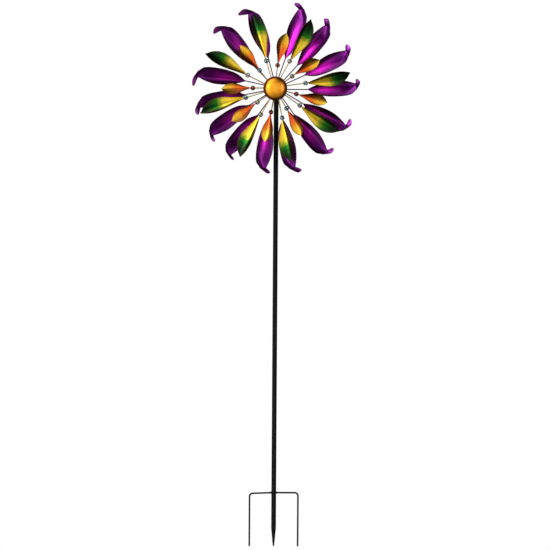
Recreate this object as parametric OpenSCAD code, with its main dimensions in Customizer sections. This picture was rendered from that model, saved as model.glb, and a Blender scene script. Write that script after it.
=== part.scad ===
// Garden wind spinner: two independent petal wheels on one fixed axle, at the top of a
// sectional steel pole with a two-pronged ground stake.
// Millimetres. +Z up, +X to the viewer's right, the viewer stands at -Y.
// The origin is on the pole's axis at the ground line, just under the weld of the fork's crossbar.

/* [Pole] */
// Height of the wheels' axle above the ground line
hub_z = 1422; // [1380:1:1460]
// Outer diameter of every pole section
pole_d = 17; // [16:0.5:20]
// Wall of every pole section
pole_wall = 1.5; // [1.2:0.1:1.8]
// Height at which the lower pole starts
joint_1_z = 68; // [60:1:80]
// Height at which the middle pole starts
joint_2_z = 406; // [380:1:430]
// Height at which the head's upper pole starts
joint_3_z = 1020; // [980:1:1050]
// Length of the reduced spigot at the top of each section
spigot_len = 55; // [40:1:60]
// Gap on radius between a spigot and the section over it
spigot_gap = 0.05; // [0.03:0.01:0.09]

/* [Ground stake] */
// Length of the stake's straight part below the ground line
stake_straight = 120.5; // [110:0.5:140]
// Depth of the stake's point below the ground line
stake_tip = 185; // [178:1:200]
// Height of the fork's crossbar above the ground line
crossbar_z = 4; // [4:0.5:6]
// Diameter of the fork's rod
fork_d = 6; // [5:0.5:6.5]
// Distance between the two prongs' centres
fork_span = 170; // [150:1:190]
// Radius of the fork's two bends, to the rod's centre
fork_bend_r = 11; // [9:1:16]
// Slope of the fork's left arm, which the weld pulled down
fork_left_slope = 2.3; // [0:0.1:3]

/* [Axle and bearings] */
// Axle bolt diameter
bolt_d = 8; // [8:0.01:8]
// Distance from the pole's axis to the rear wheel's first bearing
rear_start = 23.2; // [23.2:0.1:26]
// Distance between the two wheels' planes
wheel_gap = 60; // [58:1:66]
// Outer radius of a hub barrel
barrel_r = 14; // [13.5:0.1:15]
// Radius of the front hub plate; the rear plate is a little smaller
plate_r = 41; // [40.5:0.1:41]

/* [Dome] */
// Outer radius of the dome over the front hub
dome_r = 42.3; // [42.2:0.1:43]
// Height of the dome's cap above its skirt
dome_h = 26; // [25:0.5:29]
// Fullness of the dome's shoulder: 2 is an ellipse, higher is squarer
dome_fullness = 2.5; // [2.2:0.1:3]

/* [Rods and beads] */
// Diameter of the rods that carry the petals and leaves
rod_d = 4; // [3:0.1:4]
// Diameter of the glass beads
bead_d = 16.8; // [14:0.2:16.8]

/* [Petals and leaves] */
// Angle both wheels stand turned at rest, in degrees
wheel_turn = 0.6; // [-10:0.1:10]
// Thickness of the pressed sheet
sheet = 0.9; // [0.8:0.1:1]
// Turn of each purple petal about its rod
petal_pitch = 5; // [3:1:12]
// Turn of each green leaf about its rod; the orange leaves turn half as far
leaf_pitch = 26; // [20:1:28]
// Depth of the petals' and leaves' cupping, as a share of the nominal depth
cupping = 1; // [0.8:0.05:1.1]

/* [Hidden] */

// facets of every round shape that doesn't set its own
$fn = 64;

slip = 0.02; // gap on radius between parts that fit together
cut = 1; // overrun of a cutting shape past the face it cuts

// pole sections and their spigots
pole_r = pole_d / 2;
bore_r = pole_r - pole_wall;
spigot_r = bore_r - spigot_gap;
spigot_bore = spigot_r - pole_wall;
spigot_root = 1; // run of the spigot inside its own section
spigot_taper_h = 2;
spigot_taper = 0.8; // loss of radius over the taper
throat_drop = 3.2; // from the section's shoulder down to where its bore narrows
throat_h = 2.2;

// the stake's solid end: a long cone, then a short blunt point
point_h = 3;
point_r = 0.6;
point_base_r = 2.6;
stake_bore_floor = 12; // height of the stake's bore floor above the end of its straight part

// the fork's rod and its weld to the stake
fork_r = fork_d / 2;
weld_half_h = 4;
weld_crown_half_h = 2.6;
weld_rise = 1.1;
weld_depth = pole_wall - 0.5; // how far the weld bead reaches into the stake's wall
fork_hole_len = pole_r + 8;
fork_overlap = 0.8; // overlap of a straight part with the bend, and of the bend with the prong

// the pole's top and its cap
head_rise = 22; // from the axle to the upper pole's top
cap_t = 1.8;
plug_len = 10;

// axle hardware
bolt_r = bolt_d / 2;
loose_fit = 0.2;
close_fit = 0.1;
sleeve_r = 6;
sleeve_half = 12;
washer_r = 8;
washer_t = 1.6;
hex_r = 7.5; // across the corners, for the bolt's head and the nuts
head_h = 5.3;
nut_hex_h = 6;
nut_t = 8;
nut_collar_r = 5.9;
hub_spacer_r = 6;
bearing_spacer_r = 5.9;

// bearing: 8 mm bore, 22 mm outside, 7 mm wide
bearing_in = bolt_r;
bearing_out = 11;
bearing_w = 7;
ball_pitch_r = 7.5;
ball_r = 1.98;
groove_r = 2.04;
inner_land = 6.2;
outer_land = 8.8;
ball_count = 7;
cage_half_t = 0.75;
cage_w = 5;
cage_hole_len = 4;

// stations along the axle, measured forwards from the pole's axis
pair_gap = 12;
pair_len = 2 * bearing_w + pair_gap;
front_start = rear_start + wheel_gap;
front_end = front_start + pair_len;
bolt_end = front_end + washer_t + nut_t + 1.6;

// hub plates, and the rods that lie just behind them
barrel_inset = 0.3; // from each end of the bearing pair to the barrel's end
plate_t = 2;
plate_back = 12; // from the hub's first bearing to the plate's rear face
rear_plate_r = plate_r - 3;
rod_r = rod_d / 2;
rod_start_r = 34;
rod_plane_off = plate_back - rod_r - slip;
rear_plane = rear_start + rod_plane_off;
front_plane = front_start + rod_plane_off;
bend_off = 1.5; // from a sheet's root to its rod's bend
bend_gap = 0.3; // from the bend's centre to each straight piece
petal_rod_share = 0.34; // share of a petal's length that the rod backs
leaf_rod_share = 0.36;
bead_r = bead_d / 2;

dome_skirt = 5;

// Purple petals, as angles and radii about the axle: rod angle at the hub,
// blade root, blade tip, hook's end, hook's corner
petals = [
    [77.6, 72.4, 112, 73.5, 291, 77.1, 303, 74, 309.5],
    [47.3, 47, 112, 51.8, 282, 54.7, 295, 51.9, 305],
    [26.5, 24.7, 112, 28.2, 279, 31.5, 290, 27.7, 298.5],
    [-4.7, -1.8, 113, 3.2, 281, 6.2, 284, 3.6, 297],
    [-25.3, -29.4, 111, -28, 277, -22.7, 281, -26.3, 293.5],
    [-55.3, -55.3, 112, -50.6, 281, -46.5, 290, -49.8, 298.5],
    [-78, -78, 112, -76.5, 283, -72.9, 297, -75.8, 304],
    [-102, -102, 112, -97.6, 281, -94.5, 293, -96.6, 298.5],
    [-120, -124.7, 112, -124.7, 281, -121.2, 288, -123.4, 292],
    [-148, -148.8, 112, -143.8, 275, -139.6, 283, -142.7, 288],
    [-169.4, -169.4, 112, -166.5, 273, -162, 287, -165.4, 293.5],
    [161, 165.3, 112, 171, 277, 177.6, 290, 172.6, 293.5],
    [134, 134, 112, 132.9, 281, 138, 291, 133.7, 302],
    [102.4, 103.5, 112, 110, 279, 116.5, 290, 111.2, 300.5]
];

// Green leaves: rod angle at the hub, root angle and radius, tip angle and radius, bead radius
// (distance of the bead from the axle)
greens = [
    [64, 61.8, 118, 63.2, 272, 107.5],
    [14.7, 9.4, 118, 12.4, 268, 107.5],
    [-34.4, -35.3, 117, -33.3, 270, 104.5],
    [-70, -77.6, 117, -76.7, 264, 105.5],
    [-116.5, -119.4, 117, -116.8, 270, 105],
    [-161.5, -163, 118, -161.2, 277, 108.6],
    [157.6, 154.1, 118, 154.1, 274, 107.5],
    [112.4, 107.6, 116, 108, 274, 101.5]
];

// Orange leaves: the same six values
oranges = [
    [86, 84.1, 92, 78.6, 197.5, 81.5],
    [34.7, 35.9, 87, 32.7, 184.5, 72.6],
    [-15.3, -15.3, 89, -15.3, 189, 76],
    [-63.5, -60.6, 92, -61.2, 189, 80.3],
    [-100.8, -100.6, 94, -101.4, 191, 84.6],
    [-139, -142.9, 92, -142.9, 191, 79.3],
    [177, 179, 91, 180.5, 189.5, 79],
    [134.1, 130.6, 94, 129.6, 196, 84.5]
];

// Sheet profiles at even steps from root to tip. Seen from the front with the tip upwards,
// left is the counter-clockwise side and right the clockwise side.

// Half widths of a petal's blade
petal_left = [2.5, 8, 12.5, 16, 18.5, 19.5, 19.5, 17.5, 13.5, 8, 1.6];
petal_right = [2.5, 15, 24.5, 30, 34, 36.5, 38, 39, 38.5, 35, 23];
// Place of the fold, as a share of the right half width
petal_fold = [0.8, 0.8, 0.8, 0.81, 0.83, 0.86, 0.87, 0.8, 0.68, 0.5, 0.34];
// Rise of the left edge, rise of the fold, and slope of the flange beyond the fold
petal_rise_left = [0.6, 2.2, 4.2, 5.8, 6.8, 7, 6.6, 5.4, 3.6, 1.8, 0.3];
petal_rise_fold = [0.8, 4, 7, 9, 10.2, 10.6, 10.2, 8.2, 5.4, 2.8, 1];
petal_flange = [0.3, 0.3, 0.3, 0.3, 0.32, 0.36, 0.42, 0.48, 0.52, 0.54, 0.55];

// Leaves: left half width, right half width, rise of the left edge, rise of the right edge
green_profile = [
    [4, 7, 9.6, 12.4, 14.8, 16.5, 17, 16, 13.2, 8, 1],
    [4.4, 9.4, 15.2, 21.4, 27, 31, 32.5, 31, 26, 16.5, 1.4],
    [0.6, 1.8, 3, 4.2, 5, 5.4, 5.2, 4.4, 3.2, 1.6, 0.2],
    [0.6, 2.4, 4.4, 6.4, 8, 9, 9.2, 8.4, 6.4, 3.4, 0.3]
];
orange_profile = [
    [3, 6, 10, 14.6, 19, 22.5, 24, 23.5, 20, 12.5, 1.2],
    [2.8, 4.6, 7.4, 11, 14.5, 17, 18, 17.5, 15, 9.5, 1],
    [0.6, 1.6, 3, 4.6, 6, 6.8, 7, 6.4, 5, 2.6, 0.3],
    [0.6, 1.4, 2.4, 3.6, 4.6, 5.2, 5.2, 4.8, 3.6, 2, 0.2]
];

// Rise of the valley at the tip
petal_lift = 3;
green_lift = 5;
orange_lift = 3;
// Sharpness of the valley at the root: 1 is a straight V, 0 a rounded trough
petal_root_vee = 0.75;
leaf_root_vee = 0.55;
// A leaf's fold, as shares of its right half width and right rise
leaf_fold_width = 0.72;
leaf_fold_rise = 0.56;
hook_half_w = 3.4; // half width of the hook's blunt end
hook_corner_weight = 2.2; // higher turns the hook's corner more sharply
hook_end_rise = 2.6; // rise from inner to outer edge at the hook's end

// ---------- points and curves ----------

function polar(angle, radius) = [radius * cos(angle), radius * sin(angle)];
function unit(v) = v / norm(v);
function mix(a, b, t) = a + (b - a) * t;
function soft_step(t) = let (u = min(max(t, 0), 1)) u * u * (3 - 2 * u);

// a vector as seen in a frame turned by the angle
function into_frame(v, angle) =
    [v[0] * cos(angle) + v[1] * sin(angle), -v[0] * sin(angle) + v[1] * cos(angle)];

// smooth value of an evenly spaced list at s from 0 to 1
function smooth_at(values, s) =
    let (
        last = len(values) - 1,
        x = min(max(s, 0), 1) * last,
        i = min(floor(x), last - 1),
        t = x - i,
        before = values[max(i - 1, 0)],
        here = values[i],
        next = values[i + 1],
        after = values[min(i + 2, last)],
        square = 2 * before - 5 * here + 4 * next - after,
        cube = 3 * (here - next) + after - before
    ) here + 0.5 * t * ((next - before) + t * (square + t * cube));

// point of a curve from a to b whose middle, at t = 0.5, is the corner
function corner_curve(a, corner, b, t) =
    let (
        control = corner + (corner - (a + b) / 2) / hook_corner_weight,
        wa = (1 - t) * (1 - t),
        wc = 2 * hook_corner_weight * t * (1 - t),
        wb = t * t
    ) (wa * a + wc * control + wb * b) / (wa + wc + wb);

// values of a petal's or leaf's table row
function rod_start(row) = polar(row[0], rod_start_r);
function root_point(row) = polar(row[1], row[2]);
function tip_point(row) = polar(row[3], row[4]);
function root_to_tip(row) = tip_point(row) - root_point(row);
function bead_place(row) = row[5];
function hook_end(petal) = polar(petal[5], petal[6]);
function hook_corner(petal) = polar(petal[7], petal[8]);

// where a rod bends: just past the root, behind the sheet
function bend_point(row) = root_point(row) + unit(root_to_tip(row)) * bend_off;

// ---------- sheet surfaces ----------
// A sheet's frame: x from root to tip, y to the left, z forwards, origin on the rod's axis.

// seven points across the sheet at a station: left edge, two on the left flank, the valley
// over the rod, one on the right flank, the fold, right edge
function section(x, left_y, fold_y, right_y, left_z, fold_z, right_z, valley_z, vee) = [
    [x, left_y, valley_z + left_z],
    [x, left_y * 0.67, valley_z + left_z * mix(0.449, 0.67, vee)],
    [x, left_y * 0.34, valley_z + left_z * mix(0.116, 0.34, vee)],
    [x, 0, valley_z],
    [x, -fold_y * 0.52, valley_z + fold_z * mix(0.27, 0.52, vee)],
    [x, -fold_y, valley_z + fold_z],
    [x, -right_y, valley_z + right_z]
];

// height of the valley above the rod's axis: straight over the rod, then rising to the tip
function valley(s, lift) = rod_r + sheet / 2 + 0.2 + lift * pow(max(0, s - 0.38) / 0.62, 2);

// the valley is sharpest at the root and softens outwards
function veeness(s, root_vee) = root_vee - 0.35 * min(1, s / 0.6);

function petal_blade(length, steps) = [for (i = [0:steps]) let (
    s = i / steps,
    right_y = smooth_at(petal_right, s),
    fold_y = right_y * smooth_at(petal_fold, s),
    fold_z = cupping * smooth_at(petal_rise_fold, s),
    right_z = fold_z + smooth_at(petal_flange, s) * (right_y - fold_y)
) section(length * s, smooth_at(petal_left, s), fold_y, right_y,
          cupping * smooth_at(petal_rise_left, s), fold_z, right_z,
          valley(s, petal_lift), veeness(s, petal_root_vee))];

// the hook beyond the blade's last row: a ribbon whose inner edge is straight and whose outer
// edge turns a corner, curling forwards and narrowing to a blunt end
function petal_hook(last, hook, corner, steps) =
    let (
        inner_start = [last[0][0], last[0][1]],
        outer_start = [last[6][0], last[6][1]],
        hook_dir = unit(hook - corner),
        half_end = [hook_dir[1], -hook_dir[0]] * hook_half_w,
        rise = last[6][2] - last[0][2],
        // where the last row's points lie between its edges
        shares = [for (q = last) (last[0][1] - q[1]) / (last[0][1] - last[6][1])]
    ) [for (i = [1:steps]) let (
        t = i / steps,
        inner = mix(inner_start, hook - half_end, t),
        outer = corner_curve(outer_start, corner, hook + half_end, t),
        inner_z = last[0][2] + 9 * t * (1.7 - t),
        outer_z = inner_z + mix(rise, hook_end_rise, soft_step(t))
    ) [for (j = [0:6]) let (
        // even out the spacing, fade the blade's section and cup the ribbon
        k = mix(shares[j], j / 6, soft_step(2 * t)),
        blade_off = last[j][2] - mix(last[0][2], last[6][2], shares[j]),
        dish = 4 * k * (1 - k) * soft_step(3 * t),
        xy = mix(inner, outer, k)
    ) [xy[0], xy[1], mix(inner_z, outer_z, k) + blade_off * (1 - soft_step(4 * t)) - dish]]];

function petal_grid(length, hook, corner, blade_steps, hook_steps) =
    let (blade = petal_blade(length, blade_steps))
    concat(blade, petal_hook(blade[blade_steps], hook, corner, hook_steps));

function leaf_grid(length, profile, lift, steps) = [for (i = [0:steps]) let (
    s = i / steps,
    right_y = smooth_at(profile[1], s),
    right_z = cupping * smooth_at(profile[3], s)
) section(length * s, smooth_at(profile[0], s), right_y * leaf_fold_width, right_y,
          cupping * smooth_at(profile[2], s), right_z * leaf_fold_rise, right_z,
          valley(s, lift), veeness(s, leaf_root_vee))];

// sheet normal at a grid point
function sheet_normal(grid, i, j) =
    let (
        rows = len(grid) - 1,
        cols = len(grid[0]) - 1,
        along = grid[min(i + 1, rows)][j] - grid[max(i - 1, 0)][j],
        across = grid[i][min(j + 1, cols)] - grid[i][max(j - 1, 0)]
    ) unit(cross(across, along));

// the grid's points moved along their normals
function offset_grid(grid, dist) =
    [for (i = [0:len(grid) - 1]) for (j = [0:len(grid[0]) - 1])
        grid[i][j] + sheet_normal(grid, i, j) * dist];

// closed sheet of even thickness from a grid of points
module sheet_solid(grid) {
    n = len(grid) - 1;
    m = len(grid[0]) - 1;
    w = m + 1;
    front = offset_grid(grid, sheet / 2);
    back = offset_grid(grid, -sheet / 2);
    o = len(front); // index of the first back point
    skins = [for (i = [0:n - 1]) for (j = [0:m - 1])
        let (a = i * w + j, b = a + 1, c = a + w, d = c + 1)
        each [[a, b, d], [a, d, c], [o + a, o + d, o + b], [o + a, o + c, o + d]]];
    sides = [for (i = [0:n - 1]) let (a = i * w, c = a + w, b = i * w + m, d = b + w)
        each [[a, c, o + c], [a, o + c, o + a], [b, o + d, d], [b, o + b, o + d]]];
    ends = [for (j = [0:m - 1]) let (a = j, b = j + 1, c = n * w + j, d = c + 1)
        each [[a, o + b, b], [a, o + a, o + b], [c, d, o + d], [c, o + d, o + c]]];
    polyhedron(points = concat(front, back), faces = concat(skins, sides, ends), convexity = 8);
}

// ---------- placing ----------

// a plane square to the axle, at a distance forwards of the pole's axis, seen from the front
module wheel_plane(dist) translate([0, -dist, hub_z]) rotate([90, 0, 0]) children();

// the same plane, turned as the wheels stand at rest
module turned_wheel(dist) wheel_plane(dist) rotate([0, 0, wheel_turn]) children();

// lays a shape's z axis in the wheel's plane, from a point and in a direction
module lay_along(point, dir)
    translate([point[0], point[1], 0])
        rotate([0, 0, atan2(dir[1], dir[0])]) rotate([0, 90, 0]) children();

// puts a sheet on its rod, turned about it by the pitch
module on_rod(row, pitch) {
    root = root_point(row);
    dir = root_to_tip(row);
    translate([root[0], root[1], 0])
        rotate([0, 0, atan2(dir[1], dir[0])]) rotate([pitch, 0, 0]) children();
}

// ---------- shared shapes ----------

module pipe(r_in, r_out, h) difference() {
    cylinder(r = r_out, h = h);
    translate([0, 0, -cut]) cylinder(r = r_in, h = h + 2 * cut);
}

// a ring about the axle, from one station to another
module ring(r_in, r_out, from, to) wheel_plane(from) pipe(r_in, r_out, to - from);

// ---------- pole ----------

// the reduced spigot above a section's shoulder
module spigot(shoulder_z) {
    translate([0, 0, shoulder_z - spigot_root]) cylinder(r = spigot_r, h = spigot_len - 1);
    translate([0, 0, shoulder_z + spigot_len - spigot_taper_h])
        cylinder(r1 = spigot_r, r2 = spigot_r - spigot_taper, h = spigot_taper_h);
}

// cutter for the narrowing throat and the spigot's bore
module spigot_cut(shoulder_z) {
    translate([0, 0, shoulder_z - throat_drop])
        cylinder(r1 = bore_r, r2 = spigot_bore, h = throat_h);
    translate([0, 0, shoulder_z - throat_drop + throat_h - 0.2])
        cylinder(r = spigot_bore, h = spigot_len + 4);
}

// a pole section with the spigot that the next section slips over
module section_tube(from, to) difference() {
    union() {
        translate([0, 0, from]) cylinder(r = pole_r, h = to - from);
        spigot(to);
    }
    translate([0, 0, from - cut]) cylinder(r = bore_r, h = to - from - 2);
    spigot_cut(to);
}

// weld bead round the stake, and a fillet where each arm of the fork enters
module fork_weld() {
    bead_in = pole_r - weld_depth;
    crown_r = pole_r + weld_rise;
    translate([0, 0, crossbar_z]) rotate_extrude() polygon([
        [bead_in, -weld_half_h], [pole_r, -weld_half_h],
        [crown_r, -weld_crown_half_h], [crown_r, weld_crown_half_h],
        [pole_r, weld_half_h], [bead_in, weld_half_h]
    ]);
    for (side = [0, 1]) mirror([side, 0, 0])
        translate([pole_r - 1, 0, crossbar_z]) rotate([0, 90, 0])
            cylinder(r1 = fork_r + 1, r2 = fork_r + 0.4, h = 5, $fn = 48);
}

module ground_stake() color([0.07, 0.07, 0.07]) difference() {
    union() {
        translate([0, 0, -stake_straight]) cylinder(r = pole_r, h = joint_1_z + stake_straight);
        spigot(joint_1_z);
        translate([0, 0, -stake_tip + point_h])
            cylinder(r1 = point_base_r, r2 = pole_r, h = stake_tip - point_h - stake_straight);
        translate([0, 0, -stake_tip]) cylinder(r1 = point_r, r2 = point_base_r, h = point_h);
        fork_weld();
    }
    translate([0, 0, -stake_straight + stake_bore_floor])
        cylinder(r = bore_r, h = joint_1_z + stake_straight - stake_bore_floor - throat_drop);
    spigot_cut(joint_1_z);
    // cross-drilled hole for the fork's rod: right arm, then left arm
    translate([0, 0, crossbar_z]) for (turn = [90, -90 - fork_left_slope])
        rotate([0, turn, 0]) cylinder(r = fork_r + slip, h = fork_hole_len, $fn = 48);
}

// half of the fork: an arm from the stake, a bend, which swells slightly, and a prong
module fork_half(slope) {
    arm_start = 1.2;
    bend_x = fork_span / 2 - fork_bend_r;
    drop = bend_x * tan(slope) + fork_bend_r / cos(slope);
    arm_end = (bend_x + fork_bend_r * sin(slope)) / cos(slope);
    prong_base = -stake_tip - crossbar_z;
    prong_h = -prong_base - drop + fork_overlap;
    rotate([0, 90 + slope, 0]) translate([0, 0, arm_start])
        cylinder(r = fork_r, h = arm_end - arm_start + fork_overlap, $fn = 48);
    translate([bend_x, 0, -drop]) rotate([90, 0, 0])
        rotate_extrude(angle = 90 - slope, $fn = 96)
            translate([fork_bend_r, 0]) circle(r = fork_r + 0.12, $fn = 48);
    translate([fork_span / 2, 0, prong_base]) rotate_extrude($fn = 48)
        polygon([[0, 0], [fork_r * 0.6, 0], [fork_r, 3], [fork_r, prong_h], [0, prong_h]]);
}

module stake_fork() color([0.09, 0.09, 0.09]) translate([0, 0, crossbar_z]) {
    fork_half(0);
    mirror([1, 0, 0]) fork_half(fork_left_slope);
    // the two arms meet inside the stake's hollow
    rotate([0, 90, 0]) cylinder(r = fork_r + 0.5, h = 5, center = true, $fn = 48);
}

module lower_pole() color([0.08, 0.08, 0.08]) section_tube(joint_1_z, joint_2_z);
module middle_pole() color([0.06, 0.06, 0.06]) section_tube(joint_2_z, joint_3_z);

// ---------- head ----------

module upper_pole() color([0.08, 0.08, 0.08]) difference() {
    base_z = joint_3_z + 0.1;
    translate([0, 0, base_z]) pipe(bore_r, pole_r, hub_z + head_rise - base_z);
    // cross hole for the axle's sleeve
    translate([0, 0, hub_z]) rotate([90, 0, 0])
        cylinder(r = sleeve_r + slip, h = 3 * pole_r, center = true);
}

// a disc with a hollow plug below it
module pole_cap() color([0.12, 0.12, 0.12]) {
    translate([0, 0, hub_z + head_rise]) cylinder(r = pole_r, h = cap_t);
    translate([0, 0, hub_z + head_rise - plug_len]) difference() {
        cylinder(r = bore_r - 0.03, h = plug_len + 0.5);
        translate([0, 0, -cut]) cylinder(r = bore_r - 1.6, h = plug_len);
    }
}

module axle_sleeve() color([0.3, 0.3, 0.32])
    ring(bolt_r + loose_fit, sleeve_r, -sleeve_half, sleeve_half);

// the bolt, with a chamfered hexagon head behind the pole
module axle_bolt() color([0.72, 0.72, 0.74]) {
    shank_start = -sleeve_half - washer_t;
    wheel_plane(shank_start) cylinder(r = bolt_r, h = bolt_end - shank_start);
    wheel_plane(shank_start - head_h) intersection() {
        cylinder(r = hex_r, h = head_h, $fn = 6);
        cylinder(r1 = 6.9, r2 = 12.2, h = head_h);
    }
}

// a lock nut: chamfered hexagon with a round collar for its insert
module nut(from) wheel_plane(from) difference() {
    union() {
        intersection() {
            cylinder(r = hex_r, h = nut_hex_h, $fn = 6);
            translate([0, 0, -6]) cylinder(r1 = 14.3, r2 = 6.7, h = 12.5);
        }
        cylinder(r = nut_collar_r, h = nut_t);
    }
    translate([0, 0, -cut]) cylinder(r = bolt_r + slip, h = nut_t + 2 * cut);
}

module axle_nuts() color([0.7, 0.7, 0.72])
    for (washer = [sleeve_half, front_end]) nut(washer + washer_t);

module axle_washers() color([0.68, 0.68, 0.7])
    for (from = [-sleeve_half - washer_t, sleeve_half, rear_start - washer_t, front_end])
        ring(bolt_r + loose_fit, washer_r, from, from + washer_t);

module hub_spacer() color([0.62, 0.62, 0.65])
    ring(bolt_r + close_fit, hub_spacer_r, rear_start + pair_len, front_start);

module bearing_spacers() color([0.6, 0.6, 0.63])
    for (start = [rear_start, front_start])
        ring(bolt_r + close_fit, bearing_spacer_r,
             start + bearing_w, start + bearing_w + pair_gap);

// ---------- bearings ----------

// repeats a shape at the two bearings of the hub that starts at a station
module bearing_pair(start)
    for (from = [start, start + bearing_w + pair_gap]) wheel_plane(from) children();

module race(r_in, r_out) rotate_extrude($fn = 96) difference() {
    translate([r_in, 0]) square([r_out - r_in, bearing_w]);
    translate([ball_pitch_r, bearing_w / 2]) circle(r = groove_r, $fn = 48);
}

module at_each_ball()
    for (i = [0:ball_count - 1]) rotate([0, 0, i * 360 / ball_count]) children();

module balls(start) bearing_pair(start) translate([0, 0, bearing_w / 2])
    at_each_ball() translate([ball_pitch_r, 0, 0]) sphere(r = ball_r, $fn = 32);

module cages(start) bearing_pair(start) translate([0, 0, bearing_w / 2]) difference() {
    translate([0, 0, -cage_w / 2]) cylinder(r = ball_pitch_r + cage_half_t, h = cage_w);
    translate([0, 0, -cage_w / 2 - cut])
        cylinder(r = ball_pitch_r - cage_half_t, h = cage_w + 2 * cut);
    at_each_ball() translate([ball_pitch_r - cage_hole_len / 2, 0, 0]) rotate([0, 90, 0])
        cylinder(r = ball_r + 0.06, h = cage_hole_len, $fn = 32);
}

module outer_races(start) bearing_pair(start) race(outer_land, bearing_out);

module inner_races() color([0.8, 0.8, 0.82])
    for (start = [rear_start, front_start])
        bearing_pair(start) race(bearing_in + slip, inner_land);

module rear_outer_races() color([0.78, 0.78, 0.8]) outer_races(rear_start);
module front_outer_races() color([0.78, 0.78, 0.8]) outer_races(front_start);
module rear_balls() color([0.85, 0.85, 0.87]) balls(rear_start);
module front_balls() color([0.85, 0.85, 0.87]) balls(front_start);
module rear_cages() color([0.6, 0.55, 0.4]) cages(rear_start);
module front_cages() color([0.6, 0.55, 0.4]) cages(front_start);

// ---------- hubs ----------

// a barrel with a seat for a bearing at each end
module hub_barrel(start) wheel_plane(start + barrel_inset) difference() {
    cylinder(r = barrel_r, h = pair_len - 2 * barrel_inset);
    translate([0, 0, -cut]) cylinder(r = bearing_out - 1.2, h = pair_len + 2 * cut);
    translate([0, 0, -cut])
        cylinder(r = bearing_out + slip, h = bearing_w + cut - barrel_inset);
    translate([0, 0, pair_len - bearing_w - barrel_inset])
        cylinder(r = bearing_out + slip, h = bearing_w + cut);
}

module hub_plate(start, radius)
    ring(barrel_r + slip, radius, start + plate_back, start + plate_back + plate_t);

module rear_hub_barrel() color([0.5, 0.5, 0.52]) hub_barrel(rear_start);
module front_hub_barrel() color([0.5, 0.5, 0.52]) hub_barrel(front_start);
module rear_hub_plate() color([0.3, 0.1, 0.32]) hub_plate(rear_start, rear_plate_r);
module front_hub_plate() color([0.6, 0.5, 0.3]) hub_plate(front_start, plate_r);

// outline of the dome's cap above its skirt, from the rim to the middle: fuller at the
// shoulder and flatter in the middle than an ellipse
function cap_line(radius, height, steps = 36) = [for (i = [0:steps]) let (a = 90 * i / steps)
    [radius * pow(cos(a), 2 / dome_fullness),
     dome_skirt + height * pow(sin(a), 2 / dome_fullness)]];

// spun dome: a skirt that fits over the front plate's edge, a rolled shoulder and a shallow cap
module front_dome() color([0.85, 0.5, 0.08]) {
    inner_r = plate_r + slip;
    wall = dome_r - inner_r;
    inner = cap_line(inner_r, dome_h - wall);
    wheel_plane(front_start + plate_back) rotate_extrude($fn = 160) polygon(concat(
        [[inner_r, 0], [dome_r, 0]],
        cap_line(dome_r, dome_h),
        [for (i = [len(inner) - 1:-1:0]) inner[i]]));
}

// ---------- rods and beads ----------

module rod_piece(from, to) lay_along(from, to - from)
    cylinder(r = rod_r, h = norm(to - from), $fn = 24);

// one rod: from the hub plate to its bend, then along the back of the sheet
module rod(row, share) {
    start = rod_start(row);
    bend = bend_point(row);
    end = root_point(row) + root_to_tip(row) * share;
    dir_in = unit(bend - start);
    dir_out = unit(end - bend);
    rod_piece(start, bend - dir_in * bend_gap);
    rod_piece(bend + dir_out * bend_gap, end);
    // the bend itself, which swells a little
    lay_along(bend, unit(dir_in + dir_out))
        cylinder(r = rod_r + 0.16, h = 1.8, center = true, $fn = 24);
}

// one drilled bead threaded on the rod between the hub and the bend
module bead(row) {
    start = rod_start(row);
    bend = bend_point(row);
    dir = bend - start;
    share = (bead_place(row) - rod_start_r) / (norm(bend) - rod_start_r);
    lay_along(start + dir * share, dir) difference() {
        sphere(r = bead_r, $fn = 48);
        cylinder(r = rod_r + 0.1, h = 3 * bead_r, center = true, $fn = 24);
    }
}

module purple_stems() color([0.22, 0.08, 0.2])
    turned_wheel(rear_plane) for (row = petals) rod(row, petal_rod_share);
module green_leaf_stems() color([0.85, 0.78, 0.55])
    turned_wheel(front_plane) for (row = greens) rod(row, leaf_rod_share);
module orange_leaf_stems() color([0.85, 0.76, 0.52])
    turned_wheel(front_plane) for (row = oranges) rod(row, leaf_rod_share);

module red_beads() color([0.5, 0.05, 0.02, 0.8])
    turned_wheel(front_plane) for (i = [0, 2, 4, 6]) bead(oranges[i]);
module teal_beads() color([0.2, 0.55, 0.6, 0.7]) turned_wheel(front_plane) {
    for (i = [1, 3, 5, 7]) bead(greens[i]);
    for (i = [3, 7]) bead(oranges[i]);
}
module clear_beads() color([0.7, 0.75, 0.6, 0.7]) turned_wheel(front_plane) {
    for (i = [0, 2, 4, 6]) bead(greens[i]);
    for (i = [1, 5]) bead(oranges[i]);
}

// ---------- petals and leaves ----------

module purple_petal(k) {
    row = petals[k];
    root = root_point(row);
    dir = root_to_tip(row);
    angle = atan2(dir[1], dir[0]);
    hook = into_frame(hook_end(row) - root, angle);
    corner = into_frame(hook_corner(row) - root, angle);
    color([0.42, 0.02, 0.45]) turned_wheel(rear_plane) on_rod(row, -petal_pitch)
        sheet_solid(petal_grid(norm(dir), hook, corner, blade_steps = 12, hook_steps = 8));
}

module leaf(row, pitch, profile, lift, steps) turned_wheel(front_plane) on_rod(row, pitch)
    sheet_solid(leaf_grid(norm(root_to_tip(row)), profile, lift, steps));

module green_leaf(k) color([0.35, 0.55, 0.05])
    leaf(greens[k], leaf_pitch, green_profile, green_lift, steps = 12);

module orange_leaf(k) color([0.85, 0.4, 0.04])
    leaf(oranges[k], leaf_pitch / 2, orange_profile, orange_lift, steps = 10);

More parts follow.
